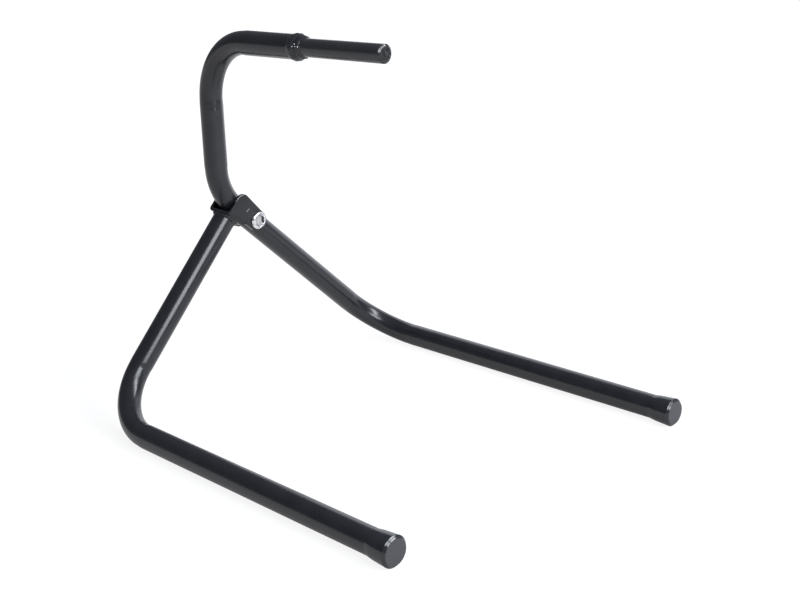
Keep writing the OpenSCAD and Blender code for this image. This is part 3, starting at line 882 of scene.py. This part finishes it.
def legWeld():  # fillet weld round the top of the folding leg
    size = fillet["size"]
    skirt = -fillet["skirt"]
    under = tubeRad - fillet["under"]
    profile = []
    for k in range(fillet["rows"] + 1):
        turn = math.pi / 2 * k / fillet["rows"]
        profile.append((tubeRad + size * math.cos(turn), size * math.sin(turn) * fillet["tall"], 0.0))
    profile += [(under, size, 0.0), (under, skirt, 0.0), (tubeRad + size, skirt, 0.0)]

    def beads(angle, rad, z):
        if z < 0 or rad < tubeRad:
            return rad, z
        height = z / fillet["knobLong"] + fillet["seed"]
        swell, knob = weldSwell(fillet, fillet["beads"], angle, fillet["slant"] * z, height)
        return rad + fillet["lump"] * swell, z * (1 + fillet["stretch"] * knob)

    bm = lathe(profile, fillet["sides"], True, beads)
    low = tailEnd + legOffset + fillet["margin"]
    high = webEnd + legOffset - fillet["margin"]
    for vert in bm.verts:
        vert.co.y = min(max(vert.co.y, low), high)
    return bm


addPiece("legWeld", legWeld(), placeAxes(legTop, -boltDir, slopeDir, foldDir), "folding_side", "leg_weld",
         ["weldCoat"])
print("bracket and its weld made")

# Hinge bolt, washers and lock nut
bolt = {
    "dia": 10.0, "headDia": 17.0, "rim": 0.8, "rimFoot": 0.35, "footEdge": 0.2, "flatDia": 11.0,
    "domeRows": 12, "socket": 10.0, "socketTurn": 17.5, "socketDeep": 2.2, "lead": 0.3, "mouth": 1.02,
    "wallEdge": 0.1, "floorRings": (0.8, 0.97), "floorDip": 0.2, "pitch": 1.5, "thread": 0.7,
    "threadAbove": 2.0, "threadRows": 36, "threadEnd": 0.02, "chamfer": 1.0, "sides": 96, "sharpDeg": 32,
    "wear": 0.6,
}
# painted shade: the socket's floor, corners, walls and mouth and the ring under the head's rim are darkened for
# the shade that falls there
boltPaintedShade = {"middle": -0.2, "floor": -0.45, "corner": -0.7, "wall": -1.0, "mouth": -0.6, "foot": -1.0}
boltLow, boltHigh = alongBolt("pivot_bolt")


def boltSocket(half):  # from the middle of the socket's floor up to its mouth, with painted shade on the floor, corners and walls
    low = boltHigh - bolt["socketDeep"]
    high = boltHigh - bolt["lead"]
    inner, outer = bolt["floorRings"]
    return [
        (0.0, low - bolt["floorDip"], boltPaintedShade["middle"]), (half * inner, low, boltPaintedShade["floor"]),
        (half * outer, low, boltPaintedShade["corner"]), (half, low + bolt["wallEdge"], boltPaintedShade["wall"]),
        (half, high - bolt["wallEdge"], boltPaintedShade["wall"]), (half * bolt["mouth"], high, boltPaintedShade["mouth"]),
    ]


def boltDome(crest):  # from the socket's mouth out to the rim of the head
    flat = bolt["flatDia"] / 2
    run = bolt["headDia"] / 2 - flat
    rise = boltHigh - earOut - bolt["rim"]
    domeRad = (run * run + rise * rise) / (2 * rise)
    lowest = math.acos(run / domeRad)
    highest = math.acos((crest - flat) / domeRad)
    points = []
    for k in range(bolt["domeRows"] + 1):
        turn = lowest + (highest - lowest) * (1 - k / bolt["domeRows"])
        high = boltHigh - domeRad + domeRad * math.sin(turn)
        points.append((flat + domeRad * math.cos(turn), high, bolt["wear"] if k == 0 else 0.0))
    return points


def pivotBolt():
    rad = bolt["dia"] / 2
    headRad = bolt["headDia"] / 2
    half = bolt["socket"] / 2
    socketFloor = boltHigh - bolt["socketDeep"]
    socketTurn = math.radians(bolt["socketTurn"])
    threadTop = alongBolt("lock_nut")[0] + bolt["threadAbove"]
    threadLow = boltLow + bolt["threadEnd"]
    profile = boltSocket(half) + boltDome(half * hexReach(0) + bolt["lead"])
    # painted shade under the rim of the head, where it sits on the ear
    profile.append((headRad, earOut + bolt["rimFoot"], boltPaintedShade["foot"]))
    profile.append((headRad - bolt["footEdge"], earOut, boltPaintedShade["foot"]))
    profile.append((rad, earOut, 0.0))
    for k in range(bolt["threadRows"] + 1):
        profile.append((rad, threadTop + (threadLow - threadTop) * k / bolt["threadRows"], 0.0))
    profile.append((0.0, boltLow, 0.0))

    def shape(angle, r, z):
        if z >= socketFloor and r <= half * bolt["mouth"]:
            return r * hexReach(angle + socketTurn), z
        if z < threadTop and r == rad:
            phase = (z / bolt["pitch"] + angle / fullTurn) % 1
            crest = 1 - abs(2 * phase - 1)
            end = max(0.0, bolt["chamfer"] - (z - boltLow))
            return min(r - bolt["thread"] * crest, r - end), z
        return r, z

    return lathe(profile, bolt["sides"], False, shape)


addPiece("pivotBolt", pivotBolt(), hingePlace, "folding_side", "pivot_bolt", ["zinc"],
         bolt["sharpDeg"])

washerDia = 18.0
for name, node, slot, finish in [
    ("frictionWasherFront", "friction_washer_front", "washer_plastic", "washer"),
    ("frictionWasherRear", "friction_washer_rear", "washer_plastic", "washer"),
    ("nutWasher", "nut_washer", "zinc_plate", "zinc"),
]:
    washerProfile = ringProfile(washerDia / 2, boltHoleRad, *alongBolt(node), hinge["soft"])
    addPiece(name, lathe(washerProfile), hingePlace, "folding_side", node, [finish])

nut = {
    "flats": 16.0, "collar": 3.0, "collarWall": 1.0, "collarIn": 0.3, "collarFoot": 0.2, "soft": 0.5,
    "bevelDeg": 30.0, "bevelStart": 0.96, "bevelRows": 8, "lead": 0.4, "leadWear": 0.3, "wear": 0.4,
    "sides": 96, "hexSkin": 0.05, "sharpDeg": 25,
}
nutBore = bolt["dia"] / 2 + stand["pushFit"]
collarRad = nut["flats"] / 2 - nut["collarIn"]
collarIn = collarRad - nut["collarWall"]


def lockNut(height):  # drawn upwards from its seat, so its z axis points along the bolt's tail
    hexTop = height - nut["collar"]
    half = nut["flats"] / 2
    point = half / math.cos(math.pi / 6)
    start = half * nut["bevelStart"]
    drop = (point - start) * math.tan(math.radians(nut["bevelDeg"]))
    bevelRows = [k / nut["bevelRows"] for k in range(nut["bevelRows"] + 1)]
    profile = [(nutBore, nut["lead"], 0.0), (nutBore + nut["lead"], 0.0, nut["leadWear"])]
    profile += [(start + (point - start) * k, drop * k, nut["wear"]) for k in bevelRows]
    profile += [(point - (point - start) * k, hexTop - drop * (1 - k), nut["wear"]) for k in bevelRows]
    profile.append((collarRad, hexTop + nut["collarFoot"], 0.0))
    collar = [(collarRad, hexTop, 0), (collarRad, height, nut["soft"]), (collarIn, height, nut["soft"]),
              (collarIn, hexTop, 0)]
    profile += rounded(collar, False)[1:]
    profile.append((nutBore, hexTop, 0.0))

    def shape(angle, rad, z):
        onHex = rad > collarRad + nut["hexSkin"] and z <= hexTop
        return (min(rad, half * hexReach(angle)) if onHex else rad), z

    return lathe(profile, nut["sides"], True, shape)


nutLow, nutSeat = alongBolt("lock_nut")
tailPlace = placeAxes(pivot + boltDir * nutSeat, foldDir, -slopeDir, -boltDir)
addPiece("lockNut", lockNut(nutSeat - nutLow), tailPlace, "folding_side", "lock_nut", ["zinc"],
         nut["sharpDeg"])

insert = {"inset": 0.5, "boreRound": 0.6, "edge": 0.3, "seatEdge": 0.2}
insertLow, insertHigh = alongBolt("nut_insert")
insertRad = collarIn - stand["pushFit"]
insertTail = insertLow + insert["inset"]
insertProfile = rounded([
    (nutBore, insertTail, insert["boreRound"]), (insertRad, insertTail, insert["edge"]),
    (insertRad, insertHigh, insert["seatEdge"]), (nutBore, insertHigh, insert["seatEdge"]),
])
addPiece("nutInsert", lathe(insertProfile), hingePlace, "folding_side", "nut_insert", ["ring"])
print("fasteners made")

# Studio
floorLook = {
    "across": 60.0, "sides": 96, "under": 0.0002, "shade": rgb(0.22, 0.22, 0.22),
    "nearGlow": rgb(0.87, 0.87, 0.87), "farGlow": rgb(1, 1, 1), "nearEnds": 0.5, "farStarts": 1.7,
    # the dark shade below is a painted shadow under the tubes, seen only in reflections
    "mirrored": rgb(0.74, 0.74, 0.75), "sheltered": rgb(0.1, 0.1, 0.105), "shelter": 0.05, "shelterRays": 8,
}


def studioFloor():  # pale floor that keeps the shadow, reads white to the camera and pale in reflections, with a painted shadow under the tubes in reflections
    bpy.ops.mesh.primitive_circle_add(vertices=floorLook["sides"], radius=floorLook["across"] / 2,
                                      fill_type="NGON")
    floor = bpy.context.object
    floor.name = "studioFloor"
    floor.location.z = -floorLook["under"]
    material, start, here = newMaterial("studioFloor")
    rays = ("Is Camera Ray", "Is Glossy Ray", "Is Transmission Ray")
    sees = [start.add("LightPath", out=ray) for ray in rays]
    seen = start.maths("MINIMUM", sees[0] + sees[1] + sees[2], 1.0)
    paint = start.add("BsdfDiffuse", {}, {"Color": floorLook["shade"]})
    away = start.add("VectorMath", {"operation": "LENGTH"}, {0: here}, out="Value")
    farther = away.ease(floorLook["nearEnds"], floorLook["farStarts"])
    shine = farther.blend(floorLook["nearGlow"], floorLook["farGlow"])
    shelter = start.add("AmbientOcclusion", {"samples": floorLook["shelterRays"]},
                        {"Distance": floorLook["shelter"]}, out="AO")
    mirrored = shelter.blend(floorLook["sheltered"], floorLook["mirrored"])  # painted shadow: darker close under the tubes in reflections
    glow = start.add("Emission", {}, {"Color": sees[0].blend(mirrored, shine)})
    both = start.add("AddShader", {}, {0: paint, 1: glow})
    shown = start.add("MixShader", {}, {0: seen, 1: paint, 2: both})
    start.add("OutputMaterial", {}, {"Surface": shown})
    floor.data.materials.append(material)


def towards(look):  # azimuth 0 is towards -Y and 90 towards +X, as seen from the stand
    azimuth = math.radians(look["azDeg"])
    rise = math.radians(look["elDeg"])
    return Vector((math.sin(azimuth) * math.cos(rise), -math.cos(azimuth) * math.cos(rise), math.sin(rise)))


coolTint = (0.91, 0.95, 1.0)
aim = Vector((0.0, 0.0, 0.15))
lamps = {
    "keySoftbox": {"azDeg": 77, "elDeg": 26, "tilt": -41, "far": 1.7, "size": (1.04, 0.64), "watts": 22.6},
    "rimSoftbox": {"azDeg": 120, "elDeg": 41, "tilt": 0, "far": 1.7, "size": (1.45, 0.36), "watts": 26},
    "backSoftbox": {"azDeg": -158, "elDeg": 14, "tilt": 0, "far": 0.97, "size": (1.2, 0.71), "watts": 3},
}


def softbox(name, look):
    lamp = bpy.data.lights.new(name, "AREA")
    lamp.shape = "RECTANGLE"
    lamp.size, lamp.size_y = look["size"]
    lamp.energy = look["watts"]
    lamp.color = coolTint
    away = towards(look)
    holder = bpy.data.objects.new(name, lamp)
    holder.location = aim + away * look["far"]
    holder.rotation_mode = "QUATERNION"
    roll = Quaternion((0, 0, 1), math.radians(look["tilt"]))
    holder.rotation_quaternion = away.to_track_quat("Z", "Y") @ roll
    holder.visible_camera = False
    scene.collection.objects.link(holder)


room = {"shade": rgb(0.195, 0.205, 0.23), "seen": rgb(1, 1, 1)}


def studioRoom():  # dim even room that reads white to the camera
    world = bpy.data.worlds.new("studioRoom")
    world.use_nodes = True
    world.node_tree.nodes.clear()
    start = Wire(world.node_tree)
    shade = start.add("LightPath", out="Is Camera Ray").blend(room["shade"], room["seen"])
    start.add("OutputWorld", {}, {"Surface": start.add("Background", {}, {"Color": shade})})
    scene.world = world


cameraLook = {
    "at": (0.7682188, -0.7450209, 0.4777708), "azDeg": 44.6858, "elDeg": 18.4671, "rollDeg": -1.4859,
    "lens": 56.6876, "sensor": 36.0,
}


def photoCamera():
    data = bpy.data.cameras.new("photoCamera")
    data.lens = cameraLook["lens"]
    data.sensor_width = cameraLook["sensor"]
    back = towards(cameraLook)
    right = Vector((0, 0, 1)).cross(back).normalized()
    rolled = Matrix.Rotation(math.radians(cameraLook["rollDeg"]), 3, back) @ right
    camera = bpy.data.objects.new("photoCamera", data)
    camera.matrix_world = placeAxes(Vector(cameraLook["at"]), rolled, back.cross(rolled), back)
    scene.collection.objects.link(camera)
    scene.camera = camera


studioFloor()
for name, look in lamps.items():
    softbox(name, look)
studioRoom()
photoCamera()
scene.view_settings.view_transform = "Standard"
print("studio set")
